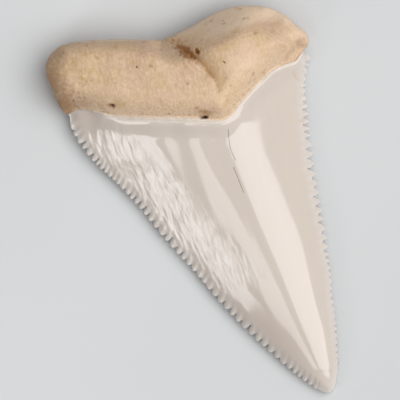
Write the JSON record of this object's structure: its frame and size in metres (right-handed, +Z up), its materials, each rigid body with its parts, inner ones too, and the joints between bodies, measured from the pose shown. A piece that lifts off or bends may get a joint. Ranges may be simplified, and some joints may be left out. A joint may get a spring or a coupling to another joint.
{
  "type": "fossil great white shark tooth",
  "caption": "Triangular shark tooth with a serrated enamel crown and a two-lobed tan root, lying on its flat outer face.",
  "frame": {"origin": "middle of the tooth's outline seen from above, at the height of the surface that it lies on", "axes": "+Y from the tip towards the root, +Z up from the flat outer face to the convex inner face, +X to the right when the inner face is seen with the root at the top"},
  "size_m": [0.0346, 0.0529, 0.0104],
  "materials": {
    "tooth": "glossy off-white enamel crown with a satin, porous tan root"
  },
  "bodies": {
    "root": {"tooth": "tooth"}
  },
  "joints": []
}
